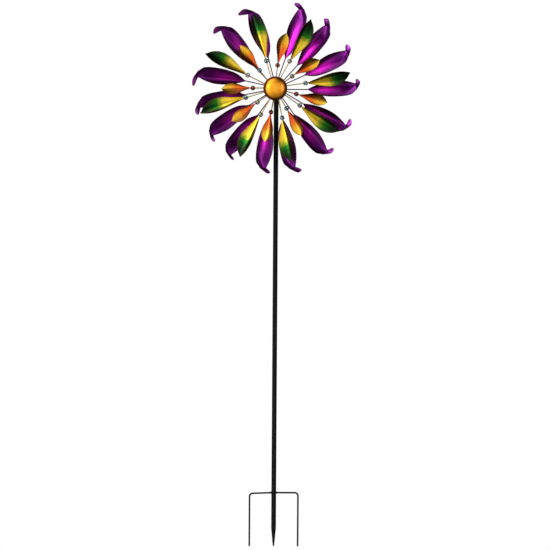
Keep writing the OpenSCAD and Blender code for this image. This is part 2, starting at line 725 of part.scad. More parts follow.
ground_stake();
stake_fork();
lower_pole();
middle_pole();
upper_pole();
pole_cap();
axle_sleeve();
axle_bolt();
axle_nuts();
axle_washers();
hub_spacer();
bearing_spacers();
inner_races();
rear_hub_barrel();
rear_hub_plate();
rear_outer_races();
purple_stems();
purple_petal(0);  // purple_petal_01
purple_petal(1);  // purple_petal_02
purple_petal(2);  // purple_petal_03
purple_petal(3);  // purple_petal_04
purple_petal(4);  // purple_petal_05
purple_petal(5);  // purple_petal_06
purple_petal(6);  // purple_petal_07
purple_petal(7);  // purple_petal_08
purple_petal(8);  // purple_petal_09
purple_petal(9);  // purple_petal_10
purple_petal(10);  // purple_petal_11
purple_petal(11);  // purple_petal_12
purple_petal(12);  // purple_petal_13
purple_petal(13);  // purple_petal_14
front_hub_barrel();
front_hub_plate();
front_outer_races();
front_dome();
green_leaf_stems();
orange_leaf_stems();
red_beads();
teal_beads();
clear_beads();
green_leaf(0);  // green_leaf_1
green_leaf(1);  // green_leaf_2
green_leaf(2);  // green_leaf_3
green_leaf(3);  // green_leaf_4
green_leaf(4);  // green_leaf_5
green_leaf(5);  // green_leaf_6
green_leaf(6);  // green_leaf_7
green_leaf(7);  // green_leaf_8
orange_leaf(0);  // orange_leaf_1
orange_leaf(1);  // orange_leaf_2
orange_leaf(2);  // orange_leaf_3
orange_leaf(3);  // orange_leaf_4
orange_leaf(4);  // orange_leaf_5
orange_leaf(5);  // orange_leaf_6
orange_leaf(6);  // orange_leaf_7
orange_leaf(7);  // orange_leaf_8
rear_balls();
rear_cages();
front_balls();
front_cages();
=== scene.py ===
"""A garden wind spinner: two flower wheels on a black pole with a forked ground stake.

The pole stands along +Z and both wheels turn about an axle along Y. The viewer is at -Y, so the
front wheel (green and orange leaves, glass beads, gold dome) has the smaller Y, and the rear
wheel carries the purple petals. +X is the viewer's right. The script's lengths are in metres,
except that sheets and beads are drawn in mm, in the plane of their wheel: angles in degrees
counter-clockwise from +X as the viewer sees them, radii from the axle.
"""

import math

import bmesh
import bpy
import numpy as np
from mathutils import Matrix, Vector


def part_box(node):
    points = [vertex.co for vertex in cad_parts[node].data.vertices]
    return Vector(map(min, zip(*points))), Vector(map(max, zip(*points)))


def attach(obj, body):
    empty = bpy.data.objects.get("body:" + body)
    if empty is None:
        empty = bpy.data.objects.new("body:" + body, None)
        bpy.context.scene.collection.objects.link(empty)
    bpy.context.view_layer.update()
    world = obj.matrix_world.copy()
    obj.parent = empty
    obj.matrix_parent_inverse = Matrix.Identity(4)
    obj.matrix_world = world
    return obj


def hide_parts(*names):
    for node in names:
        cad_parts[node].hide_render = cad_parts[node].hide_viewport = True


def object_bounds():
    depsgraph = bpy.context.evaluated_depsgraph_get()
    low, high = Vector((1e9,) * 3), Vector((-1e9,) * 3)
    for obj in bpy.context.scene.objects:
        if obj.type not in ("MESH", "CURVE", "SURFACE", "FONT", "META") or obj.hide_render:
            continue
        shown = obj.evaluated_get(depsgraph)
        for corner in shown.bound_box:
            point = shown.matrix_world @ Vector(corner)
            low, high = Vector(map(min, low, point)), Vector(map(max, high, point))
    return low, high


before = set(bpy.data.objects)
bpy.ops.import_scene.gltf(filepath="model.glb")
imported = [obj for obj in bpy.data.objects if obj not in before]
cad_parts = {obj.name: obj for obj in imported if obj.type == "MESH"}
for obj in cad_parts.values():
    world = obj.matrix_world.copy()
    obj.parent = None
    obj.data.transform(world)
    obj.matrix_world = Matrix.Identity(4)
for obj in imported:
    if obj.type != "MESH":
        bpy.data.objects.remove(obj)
cad_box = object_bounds()

# ---------------------------------------------------------------- places and sizes


def centre(node):
    lo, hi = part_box(node)
    return (lo + hi) / 2


HUB_Z = centre("axle_bolt").z
REAR_Y = centre("purple_stems").y  # the plane of the rear wheel's rods
FRONT_Y = centre("green_leaf_stems").y
WHEEL_TURN = 0.6  # degrees both wheels stand turned at rest

# mm
ROD_R = 2.0
SHEET = 0.9  # sheet thickness
FOLD_HALF = 2.6  # half the width of the pressed fold
STEM_START_R = 34  # where the leaf stems leave the hub
STEM_BEND = 1.5  # from a leaf's root to the bend in its stem
BEAD_R = 8.4

# degrees a sheet is turned about its own length
PETAL_PITCH = -5.0
GREEN_PITCH = 26.0
ORANGE_PITCH = GREEN_PITCH / 2

# angle and radius of: root, tip, end of the hook, corner of the hook's right edge
PETALS = [
    (72.4, 112, 73.5, 291, 77.1, 303, 74, 309.5),
    (47, 112, 51.8, 282, 54.7, 295, 51.9, 305),
    (24.7, 112, 28.2, 279, 31.5, 290, 27.7, 298.5),
    (-1.8, 113, 3.2, 281, 6.2, 284, 3.6, 297),
    (-29.4, 111, -28, 277, -22.7, 281, -26.3, 293.5),
    (-55.3, 112, -50.6, 281, -46.5, 290, -49.8, 298.5),
    (-78, 112, -76.5, 283, -72.9, 297, -75.8, 304),
    (-102, 112, -97.6, 281, -94.5, 293, -96.6, 298.5),
    (-124.7, 112, -124.7, 281, -121.2, 288, -123.4, 292),
    (-148.8, 112, -143.8, 275, -139.6, 283, -142.7, 288),
    (-169.4, 112, -166.5, 273, -162, 287, -165.4, 293.5),
    (165.3, 112, 171, 277, 177.6, 290, 172.6, 293.5),
    (134, 112, 132.9, 281, 138, 291, 133.7, 302),
    (103.5, 112, 110, 279, 116.5, 290, 111.2, 300.5),
]

# stem's angle at the hub; angle and radius of root, then of tip; radius to the stem's bead
GREENS = [
    (64, 61.8, 118, 63.2, 272, 107.5),
    (14.7, 9.4, 118, 12.4, 268, 107.5),
    (-34.4, -35.3, 117, -33.3, 270, 104.5),
    (-70, -77.6, 117, -76.7, 264, 105.5),
    (-116.5, -119.4, 117, -116.8, 270, 105),
    (-161.5, -163, 118, -161.2, 277, 108.6),
    (157.6, 154.1, 118, 154.1, 274, 107.5),
    (112.4, 107.6, 116, 108, 274, 101.5),
]
ORANGES = [
    (86, 84.1, 92, 78.6, 197.5, 81.5),
    (34.7, 35.9, 87, 32.7, 184.5, 72.6),
    (-15.3, -15.3, 89, -15.3, 189, 76),
    (-63.5, -60.6, 92, -61.2, 189, 80.3),
    (-100.8, -100.6, 94, -101.4, 191, 84.6),
    (-139, -142.9, 92, -142.9, 191, 79.3),
    (177, 179, 91, 180.5, 189.5, 79),
    (134.1, 130.6, 94, 129.6, 196, 84.5),
]

# Blade shapes in mm, at eleven even stations from root to tip. left (counter-clockwise) and
# right: width each side of the valley. rise: height above the valley at the edge, except that a
# petal's rise_right is taken at its fold. lift: how far the valley rises by the tip. vee: how
# sharp the valley is at the root, 0 round to 1 straight-sided.
PETAL_SHAPE = dict(
    left=[2.5, 8, 12.5, 16, 18.5, 19.5, 19.5, 17.5, 13.5, 8, 1.6],
    right=[2.5, 15, 24.5, 30, 34, 36.5, 38, 39, 38.5, 35, 23],
    rise_left=[0.6, 2.2, 4.2, 5.8, 6.8, 7, 6.6, 5.4, 3.6, 1.8, 0.3],
    rise_right=[0.8, 4, 7, 9, 10.2, 10.6, 10.2, 8.2, 5.4, 2.8, 1],
    lift=3,
    vee=0.75,
)
# the fold's place as a share of the right width, and the slope of the flange beyond it
PETAL_FOLD = [0.8, 0.8, 0.8, 0.81, 0.83, 0.86, 0.87, 0.8, 0.68, 0.5, 0.34]
PETAL_FLANGE = [0.3, 0.3, 0.3, 0.3, 0.32, 0.36, 0.42, 0.48, 0.52, 0.54, 0.55]
GREEN_SHAPE = dict(
    left=[4, 7, 9.6, 12.4, 14.8, 16.5, 17, 16, 13.2, 8, 1],
    right=[4.4, 9.4, 15.2, 21.4, 27, 31, 32.5, 31, 26, 16.5, 1.4],
    rise_left=[0.6, 1.8, 3, 4.2, 5, 5.4, 5.2, 4.4, 3.2, 1.6, 0.2],
    rise_right=[0.6, 2.4, 4.4, 6.4, 8, 9, 9.2, 8.4, 6.4, 3.4, 0.3],
    lift=5.0,
    vee=0.55,
)
ORANGE_SHAPE = dict(
    left=[3, 6, 10, 14.6, 19, 22.5, 24, 23.5, 20, 12.5, 1.2],
    right=[2.8, 4.6, 7.4, 11, 14.5, 17, 18, 17.5, 15, 9.5, 1],
    rise_left=[0.6, 1.6, 3, 4.6, 6, 6.8, 7, 6.4, 5, 2.6, 0.3],
    rise_right=[0.6, 1.4, 2.4, 3.6, 4.6, 5.2, 5.2, 4.8, 3.6, 2, 0.2],
    lift=3.0,
    vee=0.55,
)
LEAF_FOLD = 0.72  # the leaves' fold, as a share of the right width
LEAF_FOLD_RISE = 0.56  # and its height, as a share of the right edge's

# steps in a sheet's grid
BLADE_ROWS, HOOK_ROWS = 84, 34
LEFT_STEPS, RIGHT_STEPS, FLANGE_STEPS = 13, 22, 9

# ---------------------------------------------------------------- curves


def mix(a, b, share):
    return a + (b - a) * share


def smooth(t):
    t = min(max(t, 0.0), 1.0)
    return t * t * (3 - 2 * t)


def polar(angle, radius):
    return np.array([math.cos(math.radians(angle)), math.sin(math.radians(angle))]) * radius


def curve_at(values, s):
    """A Catmull-Rom curve through evenly spaced values, at s from 0 to 1."""
    last = len(values) - 1
    x = min(max(s, 0.0), 1.0) * last
    i = min(int(math.floor(x)), last - 1)
    t = x - i
    b, c = values[i], values[i + 1]
    a, d = values[max(i - 1, 0)], values[min(i + 2, last)]
    return b + 0.5 * t * (
        (c - a) + t * ((2 * a - 5 * b + 4 * c - d) + t * (3 * (b - c) + d - a))
    )


def curve_through(start, middle, end, t, weight=2.2):
    """A rational curve that passes through middle at t = 0.5; more weight turns it sharper."""
    control = middle + (middle - (start + end) / 2) / weight
    k0, k1, k2 = (1 - t) ** 2, 2 * weight * t * (1 - t), t * t
    return (k0 * start + k1 * control + k2 * end) / (k0 + k1 + k2)


# ---------------------------------------------------------------- pressed sheet surfaces
# In a sheet's own frame x runs from root to tip, +y is its left and +z faces the viewer.


def wall_z(k, rise, vee, radius=0.04):
    """Height at share k from valley to edge; a small radius keeps the valley from a knife line."""
    straight = math.sqrt(k * k + radius**2) - radius
    return rise * ((1 - vee) * k * k + vee * straight)


def section(x, left, fold, right, rise_left, rise_fold, slope, valley, vee):
    """Points from the left edge over the valley and the fold to the right edge, and their
    places across: 1 at the left edge, 0 in the valley, -1 at the right edge."""
    points, across = [], []
    for i in range(LEFT_STEPS):
        k = 1 - i / LEFT_STEPS
        points.append((x, left * k, valley + wall_z(k, rise_left, vee)))
        across.append(k)
    flange = max(right - fold, 1e-6)
    # the fold is pressed to a radius, not a knife line
    turn = slope - rise_fold * (2 * (1 - vee) + vee) / fold
    soft = min(FOLD_HALF, 0.45 * fold, 0.9 * flange)

    def add(y, z):
        rounding = turn * max(0.0, soft - abs(y - fold)) ** 2 / (4 * soft)
        points.append((x, -y, z + rounding))
        across.append(-y / right)

    for i in range(RIGHT_STEPS):
        k = i / RIGHT_STEPS
        add(fold * k, valley + wall_z(k, rise_fold, vee))
    for i in range(FLANGE_STEPS + 1):
        beyond = flange * i / FLANGE_STEPS
        add(fold + beyond, valley + rise_fold + slope * beyond)
    return points, across


def petal_fold(s, right, rise):
    return right * curve_at(PETAL_FOLD, s), rise, curve_at(PETAL_FLANGE, s)


def leaf_fold(s, right, rise):
    fold, fold_rise = right * LEAF_FOLD, rise * LEAF_FOLD_RISE
    return fold, fold_rise, (rise - fold_rise) / max(right - fold, 1e-6)


def blade_grid(length, shape, fold_at):
    """Sections from root to tip. fold_at gives the fold's distance, its rise and the slope
    beyond it."""
    lift_start = 0.38  # share of the length where the valley leaves the rod
    points, uv = [], []
    for i in range(BLADE_ROWS + 1):
        s = i / BLADE_ROWS
        right = curve_at(shape["right"], s)
        fold, rise_fold, slope = fold_at(s, right, curve_at(shape["rise_right"], s))
        lift = shape["lift"] * max(0.0, (s - lift_start) / (1 - lift_start)) ** 2
        row, across = section(
            x=length * s,
            left=curve_at(shape["left"], s),
            fold=fold,
            right=right,
            rise_left=curve_at(shape["rise_left"], s),
            rise_fold=rise_fold,
            slope=slope,
            valley=ROD_R + SHEET / 2 + 0.2 + lift,  # 0.2 mm clear of the rod
            vee=shape["vee"] - 0.35 * min(1.0, s / 0.6),  # rounder away from the root
        )
        points.append(row)
        uv.append([(s, a) for a in across])
    return np.array(points), np.array(uv)


def add_hook(grid, uv, hook, corner):
    """Carries a petal on from its last row into a narrow hook that ends at hook."""
    half_width = 3.4
    blunt = 0.1  # the last share of the hook, which rounds its end off
    end_width = 0.45  # share of the width left at the very end
    rise, rise_peak = 9, 1.7  # the left edge's height is rise * t * (rise_peak - t)
    end_tilt = 2.6  # right edge above the left at the end
    last = grid[-1]
    left0, right0 = last[0, :2], last[-1, :2]
    share = (left0[1] - last[:, 1]) / (left0[1] - right0[1])
    even_share = np.linspace(0, 1, len(share))
    relief = last[:, 2] - mix(last[0, 2], last[-1, 2], share)
    tilt = last[-1, 2] - last[0, 2]
    across = uv[-1][:, 1]
    heading = (hook - corner) / np.linalg.norm(hook - corner)
    out = np.array([heading[1], -heading[0]]) * half_width
    rows, row_uv = [], []
    for i in range(1, HOOK_ROWS + 1):
        t = i / HOOK_ROWS
        into_end = max(0.0, (t - (1 - blunt)) / blunt)
        width = math.sqrt(max(0.0, 1 - into_end**2)) * (1 - end_width) + end_width
        left = mix(left0, hook - out, t)
        right = curve_through(right0, corner, hook + out, t)
        middle = (left + right) / 2
        left, right = middle + (left - middle) * width, middle + (right - middle) * width
        left_z = last[0, 2] + rise * t * (rise_peak - t)
        right_z = left_z + mix(tilt, end_tilt, smooth(t))
        # the blade's relief fades out and a dish 1 mm deep takes its place
        k = mix(share, even_share, smooth(2 * t))
        dish = 4 * k * (1 - k) * smooth(3 * t)
        z = mix(left_z, right_z, k) + relief * (1 - smooth(4 * t)) - dish
        rows.append(np.column_stack([mix(left[0], right[0], k), mix(left[1], right[1], k), z]))
        v = mix(across, 1 - 2 * even_share, smooth(2 * t))
        row_uv.append(np.column_stack([np.full(len(v), 1 + 0.25 * t), v]))
    return np.concatenate([grid, rows]), np.concatenate([uv, row_uv])


# ---------------------------------------------------------------- meshes and objects


def add_object(name, mesh):
    mesh.polygons.foreach_set("use_smooth", [True] * len(mesh.polygons))
    obj = bpy.data.objects.new(name, mesh)
    bpy.context.scene.collection.objects.link(obj)
    return obj


def face_outward(mesh, weld=False):
    bm = bmesh.new()
    bm.from_mesh(mesh)
    if weld:
        bmesh.ops.remove_doubles(bm, verts=bm.verts, dist=1e-7)
        bmesh.ops.dissolve_degenerate(bm, edges=bm.edges, dist=1e-7)
    bmesh.ops.recalc_face_normals(bm, faces=bm.faces)
    bm.to_mesh(mesh)
    bm.free()


def paint(obj, material):
    obj.data.materials.clear()
    obj.data.materials.append(material)


def finish_piece(obj, material, body, node):
    paint(obj, material)
    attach(obj, body)
    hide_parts(node)


def normals(grid):
    n = np.cross(np.gradient(grid, axis=1), np.gradient(grid, axis=0))
    return n / np.maximum(np.linalg.norm(n, axis=2, keepdims=True), 1e-9)


def sheet_object(name, grid, uv, place):
    """A closed sheet about the grid. place maps local mm to metres."""
    rows, cols = grid.shape[:2]
    half = SHEET / 2
    offset = normals(grid) * half
    cells = [(i, j) for i in range(rows) for j in range(cols)]
    ring = (
        [(0, j) for j in range(cols)]
        + [(i, cols - 1) for i in range(1, rows)]
        + [(rows - 1, j) for j in range(cols - 2, -1, -1)]
        + [(i, 0) for i in range(rows - 2, 0, -1)]
    )
    # the edge is rounded with one loop half way through the sheet, a little outside it
    bulge = []
    for i, j in ring:
        out = grid[i, j] - grid[min(max(i, 1), rows - 2), min(max(j, 1), cols - 2)]
        out = out / max(np.linalg.norm(out), 1e-9)
        bulge.append(grid[i, j] + out * half * 0.6)
    verts = [(grid + offset).reshape(-1, 3), (grid - offset).reshape(-1, 3), bulge]

    # vertex numbers by grid cell
    front = {cell: k for k, cell in enumerate(cells)}
    back = {cell: len(cells) + k for k, cell in enumerate(cells)}
    rim = {cell: 2 * len(cells) + k for k, cell in enumerate(ring)}
    faces, flat_uv = [], []

    def add_face(*corners):
        faces.append([side[cell] for side, cell in corners])
        for _, cell in corners:
            flat_uv.extend([float(uv[cell][0]), float(uv[cell][1]) * 0.5 + 0.5])

    for i in range(rows - 1):
        for j in range(cols - 1):
            a, b, c, d = (i, j), (i, j + 1), (i + 1, j + 1), (i + 1, j)
            add_face((front, a), (front, b), (front, c), (front, d))
            add_face((back, a), (back, d), (back, c), (back, b))
    for a, b in zip(ring, ring[1:] + ring[:1]):
        add_face((front, a), (rim, a), (rim, b), (front, b))
        add_face((rim, a), (back, a), (back, b), (rim, b))

    mesh = bpy.data.meshes.new(name)
    placed = place(np.concatenate(verts))
    mesh.from_pydata([tuple(map(float, point)) for point in placed], [], faces)
    mesh.uv_layers.new(name="sheet").data.foreach_set("uv", flat_uv)
    mesh.validate()
    face_outward(mesh)
    return add_object(name, mesh)


def lathe(profile, steps, place, verts, faces, closed):
    """Turns a profile of (radius, height) pairs about the local z axis."""
    start = len(verts)
    n = len(profile)
    for k in range(steps):
        c, s = math.cos(2 * math.pi * k / steps), math.sin(2 * math.pi * k / steps)
        for radius, height in profile:
            verts.append(place(Vector((radius * c, radius * s, height))))
    for k in range(steps):
        a, b = start + k * n, start + ((k + 1) % steps) * n
        for i in range(n if closed else n - 1):
            j = (i + 1) % n
            faces.append((a + i, b + i, b + j, a + j))


def turned_object(name, verts, faces):
    mesh = bpy.data.meshes.new(name)
    mesh.from_pydata([tuple(v) for v in verts], [], faces)
    face_outward(mesh, weld=True)
    return add_object(name, mesh)


# ---------------------------------------------------------------- node helpers


class Nodes:
    """The node tree of a material or a world, cleared and given its output."""

    def __init__(self, owner, output):
        owner.use_nodes = True
        self.tree = owner.node_tree
        self.tree.nodes.clear()
        self.surface = self.node(output).inputs["Surface"]

    def feed(self, socket, value):
        """Links another node's output, or sets a number or an RGB colour."""
        if isinstance(value, bpy.types.NodeSocket):
            self.tree.links.new(value, socket)
        elif isinstance(value, tuple):
            socket.default_value = (*value, 1)
        else:
            socket.default_value = value

    def node(self, kind, inputs=None, **settings):
        node = self.tree.nodes.new("ShaderNode" + kind)
        for key, value in settings.items():
            setattr(node, key, value)
        for key, value in (inputs or {}).items():
            self.feed(node.inputs[key], value)
        return node

    def math(self, operation, a, b=None, clamp=False):
        inputs = {0: a} if b is None else {0: a, 1: b}
        return self.node("Math", inputs, operation=operation, use_clamp=clamp).outputs[0]

    def remap(self, value, span, to=(0, 1), interpolation="LINEAR"):
        """Maps span onto to, clamped at both ends."""
        inputs = dict(enumerate([value, *span, *to]))
        return self.node("MapRange", inputs, interpolation_type=interpolation).outputs[0]

    def separate(self, vector):
        return self.node("SeparateXYZ", {0: vector}).outputs

    def mix_shader(self, share, a, b):
        return self.node("MixShader", {0: share, 1: a, 2: b}).outputs[0]


class Material(Nodes):
    def __init__(self, name):
        self.material = bpy.data.materials.new(name)
        super().__init__(self.material, "OutputMaterial")
        self.shader = self.node("BsdfPrincipled")
        self.feed(self.surface, self.shader.outputs[0])

    def set(self, **inputs):
        for key, value in inputs.items():
            self.feed(self.shader.inputs[key.replace("_", " ")], value)

    def noise(self, scale, detail=3.0, rough=0.5, stretch=(1, 1, 1)):
        mapping = self.node("Mapping", {"Vector": self.node("TexCoord").outputs["Object"]})
        mapping.inputs["Scale"].default_value = stretch
        inputs = {
            "Scale": scale,
            "Detail": detail,
            "Roughness": rough,
            "Vector": mapping.outputs[0],
        }
        return self.node("TexNoise", inputs).outputs["Fac"]

    def ramp(self, value, stops):
        node = self.node("ValToRGB", {"Fac": value})
        node.color_ramp.interpolation = "EASE"
        elements = node.color_ramp.elements
        while len(elements) > 1:
            elements.remove(elements[-1])
        elements[0].position = stops[0][0]
        elements[0].color = (*stops[0][1], 1)
        for position, colour in stops[1:]:
            elements.new(position).color = (*colour, 1)
        return node.outputs["Color"]

    def mix(self, share, a, b, blend="MIX"):
        inputs = {0: share, 6: a, 7: b}
        return self.node("Mix", inputs, data_type="RGBA", blend_type=blend).outputs[2]

    def bump(self, height, strength, distance):
        inputs = {"Strength": strength, "Distance": distance, "Height": height}
        self.set(Normal=self.node("Bump", inputs).outputs[0])


# ---------------------------------------------------------------- materials


def candy(name, along, rim, edge_shade_share, shade, shade_share, highlight_spot=None):
    """Metallic paint, airbrushed from root to tip, with painted shade darkening it to its edges.
    along: colour stops over the sheet's length, 0 at the root, 0.8 at the blade's tip, 1 at the
    hook's end. spot: a painted highlight, a brighter patch. shade: painted shade, a darker
    colour over the counter-clockwise half."""
    t = Material(name)
    sheet_uv = t.separate(t.node("UVMap", uv_map="sheet").outputs[0])
    # noise makes the edges of the spray uneven
    wobble = t.remap(t.noise(scale=22, detail=4, rough=0.6), span=(0.3, 0.7), to=(-0.03, 0.03))
    u = t.math("ADD", t.math("MULTIPLY", sheet_uv[0], 0.8), wobble, clamp=True)
    # v runs from -1 at the right edge to 1 at the left
    v = t.math("SUBTRACT", t.math("MULTIPLY", sheet_uv[1], 2.0), 1.0)
    wobble = t.remap(t.noise(scale=31, detail=3, rough=0.6), span=(0.3, 0.7), to=(-0.07, 0.07))
    v = t.math("ADD", v, wobble)
    base = t.ramp(u, along)
    # painted highlight: a brighter patch of colour about u, v
    if highlight_spot:
        du = t.math("DIVIDE", t.math("SUBTRACT", u, highlight_spot["u"]), highlight_spot["length"])
        dv = t.math("DIVIDE", t.math("SUBTRACT", v, highlight_spot["v"]), highlight_spot["width"])
        distance = t.math("ADD", t.math("MULTIPLY", du, du), t.math("MULTIPLY", dv, dv))
        glow = t.math("POWER", 2.718, t.math("MULTIPLY", distance, -1.0))
        base = t.mix(glow, base, highlight_spot["colour"])
    # painted shade: darker over the counter-clockwise half (v > 0)
    base = t.mix(t.remap(v, span=(0.0, 0.45), to=(0.0, shade_share)), base, shade)
    # painted shade: darker towards both edges of the sheet
    edge = t.remap(t.math("ABSOLUTE", v), span=(0.62, 1.0))
    edge = t.math("MULTIPLY", t.math("MULTIPLY", edge, edge), edge_shade_share)
    base = t.mix(edge, base, rim)
    flake = t.remap(t.noise(scale=1500, detail=2), span=(0.4, 0.75), to=(0, 0.03))
    base = t.mix(flake, base, (1, 1, 1), "OVERLAY")
    soft = t.noise(scale=60, detail=5, rough=0.55)
    t.set(
        Base_Color=base,
        Roughness=t.remap(soft, span=(0.3, 0.7), to=(0.22, 0.32)),
        Metallic=0.94,
        Coat_Weight=0.14,
        Coat_Roughness=0.1,
    )
    # faint unevenness of pressed sheet, and the paint's orange peel
    peel = t.math("MULTIPLY", t.noise(scale=420, detail=2), 0.05)
    t.bump(t.math("ADD", t.noise(scale=38), peel), strength=0.1, distance=0.0012)
    return t.material


def metal(name, colour, rough, metallic=1.0, grain=300, bump=0.05, coat=0.0):
    t = Material(name)
    n = t.noise(scale=grain, detail=4, rough=0.6)
    dark = tuple(c * 0.82 for c in colour)
    t.set(
        Base_Color=t.mix(t.remap(n, span=(0.35, 0.7)), dark, colour),
        Roughness=t.remap(n, span=(0.3, 0.7), to=(rough * 0.8, rough * 1.3)),
        Metallic=metallic,
        Coat_Weight=coat,
        Coat_Roughness=0.1,
    )
    t.bump(n, strength=bump, distance=0.0004)
    return t.material


def powder(name, colour):
    """Black powder coat: fine orange peel, slight sheen, paler in broad patches."""
    t = Material(name)
    peel = t.noise(scale=900, detail=2, rough=0.45)
    wide = t.noise(scale=14, detail=5, rough=0.6)
    pale = tuple(c * 1.8 + 0.001 for c in colour)
    t.set(
        Base_Color=t.mix(t.remap(wide, span=(0.35, 0.75)), colour, pale),
        Roughness=t.remap(wide, span=(0.3, 0.7), to=(0.38, 0.5)),
        Metallic=0.0,
        Specular_IOR_Level=0.1,
    )
    t.bump(peel, strength=0.2, distance=0.0003)
    return t.material


def glass(name, colour, streak):
    """Tinted glass bead: faint streaks of denser colour, and a slightly wavy skin."""
    t = Material(name)
    n = t.noise(scale=140, stretch=(1, 1, 3))
    t.set(
        Base_Color=t.mix(t.remap(n, span=(0.35, 0.7)), colour, streak),
        Transmission_Weight=1.0,
        IOR=1.42,
        Roughness=0.02,
    )
    t.bump(t.noise(scale=110, detail=2), strength=0.05, distance=0.0004)
    return t.material


def dome_gold():
    t = Material("dome_gold")
    n = t.noise(scale=34, detail=4, rough=0.55)
    fine = t.noise(scale=1400, detail=2)
    base = t.mix(t.remap(n, span=(0.3, 0.7)), (0.92, 0.34, 0.010), (0.98, 0.42, 0.014))
    x, _, z = t.separate(t.node("TexCoord").outputs["Object"])
    dz = t.math("SUBTRACT", z, HUB_Z)
    # painted shade: redder towards +X, standing in for the right half's deeper reflection
    base = t.mix(t.remap(x, span=(0.004, 0.03), to=(0, 0.7)), base, (0.92, 0.27, 0.02))
    # the shoulder is darker, in a band with an uneven edge
    square = t.math("ADD", t.math("MULTIPLY", x, x), t.math("MULTIPLY", dz, dz))
    wobble = t.noise(scale=60, rough=0.6)
    wobble = t.remap(wobble, span=(0.3, 0.7), to=(-0.0012, 0.0012))
    radius = t.math("ADD", t.math("SQRT", square), wobble)
    base = t.mix(t.remap(radius, span=(0.0305, 0.0365)), base, (0.30, 0.06, 0.006))
    flake = t.remap(fine, span=(0.45, 0.75), to=(0, 0.1))
    t.set(
        Base_Color=t.mix(flake, base, (1, 1, 1), "OVERLAY"),
        Roughness=t.remap(n, span=(0.3, 0.7), to=(0.36, 0.44)),
        Metallic=0.95,
        Coat_Weight=0.25,
        Coat_Roughness=0.2,
    )
    height = t.math("ADD", n, t.math("MULTIPLY", fine, 0.02))
    t.bump(height, strength=0.08, distance=0.001)
    return t.material


PURPLE = candy(
    "purple_candy",
    along=[
        (0.0, (0.11, 0.0, 0.08)),
        (0.2, (0.12, 0.0, 0.10)),
        (0.45, (0.11, 0.0, 0.11)),
        (0.64, (0.085, 0.0, 0.10)),
        (0.8, (0.20, 0.008, 0.23)),
        # painted highlight: the hook is painted a paler violet towards its end
        (1.0, (0.36, 0.04, 0.40)),
    ],
    # painted shade: darker towards the edges
    rim=(0.012, 0.0, 0.014),
    edge_shade_share=0.85,
    # painted shade over the counter-clockwise half
    shade=(0.035, 0.0, 0.03),
    shade_share=0.62,
    # painted highlight: a brighter magenta patch near the root
    highlight_spot=dict(colour=(0.64, 0.004, 0.49), u=0.27, v=-0.24, length=0.19, width=0.35),
)
GREEN = candy(
    "green_gold_candy",
    along=[
        (0.0, (0.80, 0.46, 0.008)),
        (0.24, (0.86, 0.56, 0.03)),
        (0.35, (0.70, 0.50, 0.03)),
        (0.42, (0.22, 0.27, 0.010)),
        (0.48, (0.008, 0.13, 0.004)),
        (0.57, (0.001, 0.045, 0.002)),
        (0.68, (0.0004, 0.011, 0.0006)),
        (0.8, (0.0002, 0.005, 0.0003)),
    ],
    # painted shade: darker towards the edges
    rim=(0.04, 0.014, 0.0),
    edge_shade_share=0.75,
    # painted shade over the counter-clockwise half
    shade=(0.05, 0.022, 0.0),
    shade_share=0.6,
)
ORANGE = candy(
    "orange_gold_candy",
    along=[
        (0.0, (0.52, 0.06, 0.008)),
        (0.2, (0.68, 0.085, 0.008)),
        (0.38, (0.72, 0.16, 0.010)),
        (0.56, (0.80, 0.40, 0.02)),
        (0.8, (0.88, 0.56, 0.05)),
    ],
    # painted shade: darker towards the edges
    rim=(0.06, 0.006, 0.0),
    edge_shade_share=0.85,
    # painted shade over the counter-clockwise half
    shade=(0.07, 0.007, 0.0),
    shade_share=0.85,
)
BLACK = powder("black_powder_coat", colour=(0.003, 0.003, 0.0034))
PLASTIC = powder("black_plastic", colour=(0.012, 0.012, 0.013))
ZINC = metal("zinc_plate", colour=(0.62, 0.62, 0.6), rough=0.3, grain=240)
BEARING = metal("bearing_steel", colour=(0.72, 0.73, 0.75), rough=0.12, grain=500, bump=0.02)
BRASS = metal("cage_brass", colour=(0.7, 0.5, 0.22), rough=0.28)
ROD = dict(rough=0.35, grain=380)
GOLD_ROD = metal("gold_rod", colour=(0.58, 0.43, 0.16), metallic=0.85, coat=0.3, **ROD)
ORANGE_ROD = metal("orange_rod", colour=(0.40, 0.24, 0.08), metallic=0.85, coat=0.3, **ROD)
PURPLE_ROD = metal("purple_rod", colour=(0.10, 0.035, 0.08), metallic=0.7, coat=0.2, **ROD)
HUB_PAINT = metal("hub_paint", colour=(0.35, 0.17, 0.03), rough=0.35, metallic=0.8, grain=200)
GLASS_RED = glass("bead_red", colour=(0.86, 0.14, 0.08), streak=(0.62, 0.05, 0.03))
GLASS_TEAL = glass("bead_teal", colour=(0.62, 0.92, 0.96), streak=(0.42, 0.80, 0.86))
GLASS_CLEAR = glass("bead_clear", colour=(0.95, 0.96, 0.84), streak=(0.86, 0.88, 0.68))
DOME = dome_gold()

# ---------------------------------------------------------------- petals and leaves


def sheet_frame(root, tip, pitch, plane_y):
    """A sheet's placing function, its heading in the wheel's plane (radians) and its length."""
    along = tip - root
    heading = math.atan2(along[1], along[0])
    matrix = np.array(
        Matrix.Translation((0, plane_y, HUB_Z))
        @ Matrix.Rotation(math.pi / 2, 4, "X")
        @ Matrix.Scale(0.001, 4)
        @ Matrix.Rotation(math.radians(WHEEL_TURN), 4, "Z")
        @ Matrix.Translation((root[0], root[1], 0))
        @ Matrix.Rotation(heading, 4, "Z")
        @ Matrix.Rotation(math.radians(pitch), 4, "X")
    )

    def place(points):
        return points @ matrix[:3, :3].T + matrix[:3, 3]

    return place, heading, float(np.linalg.norm(along))


def into_frame(point, root, heading):
    x, y = point - root
    c, s = math.cos(heading), math.sin(heading)
    return np.array([x * c + y * s, -x * s + y * c])


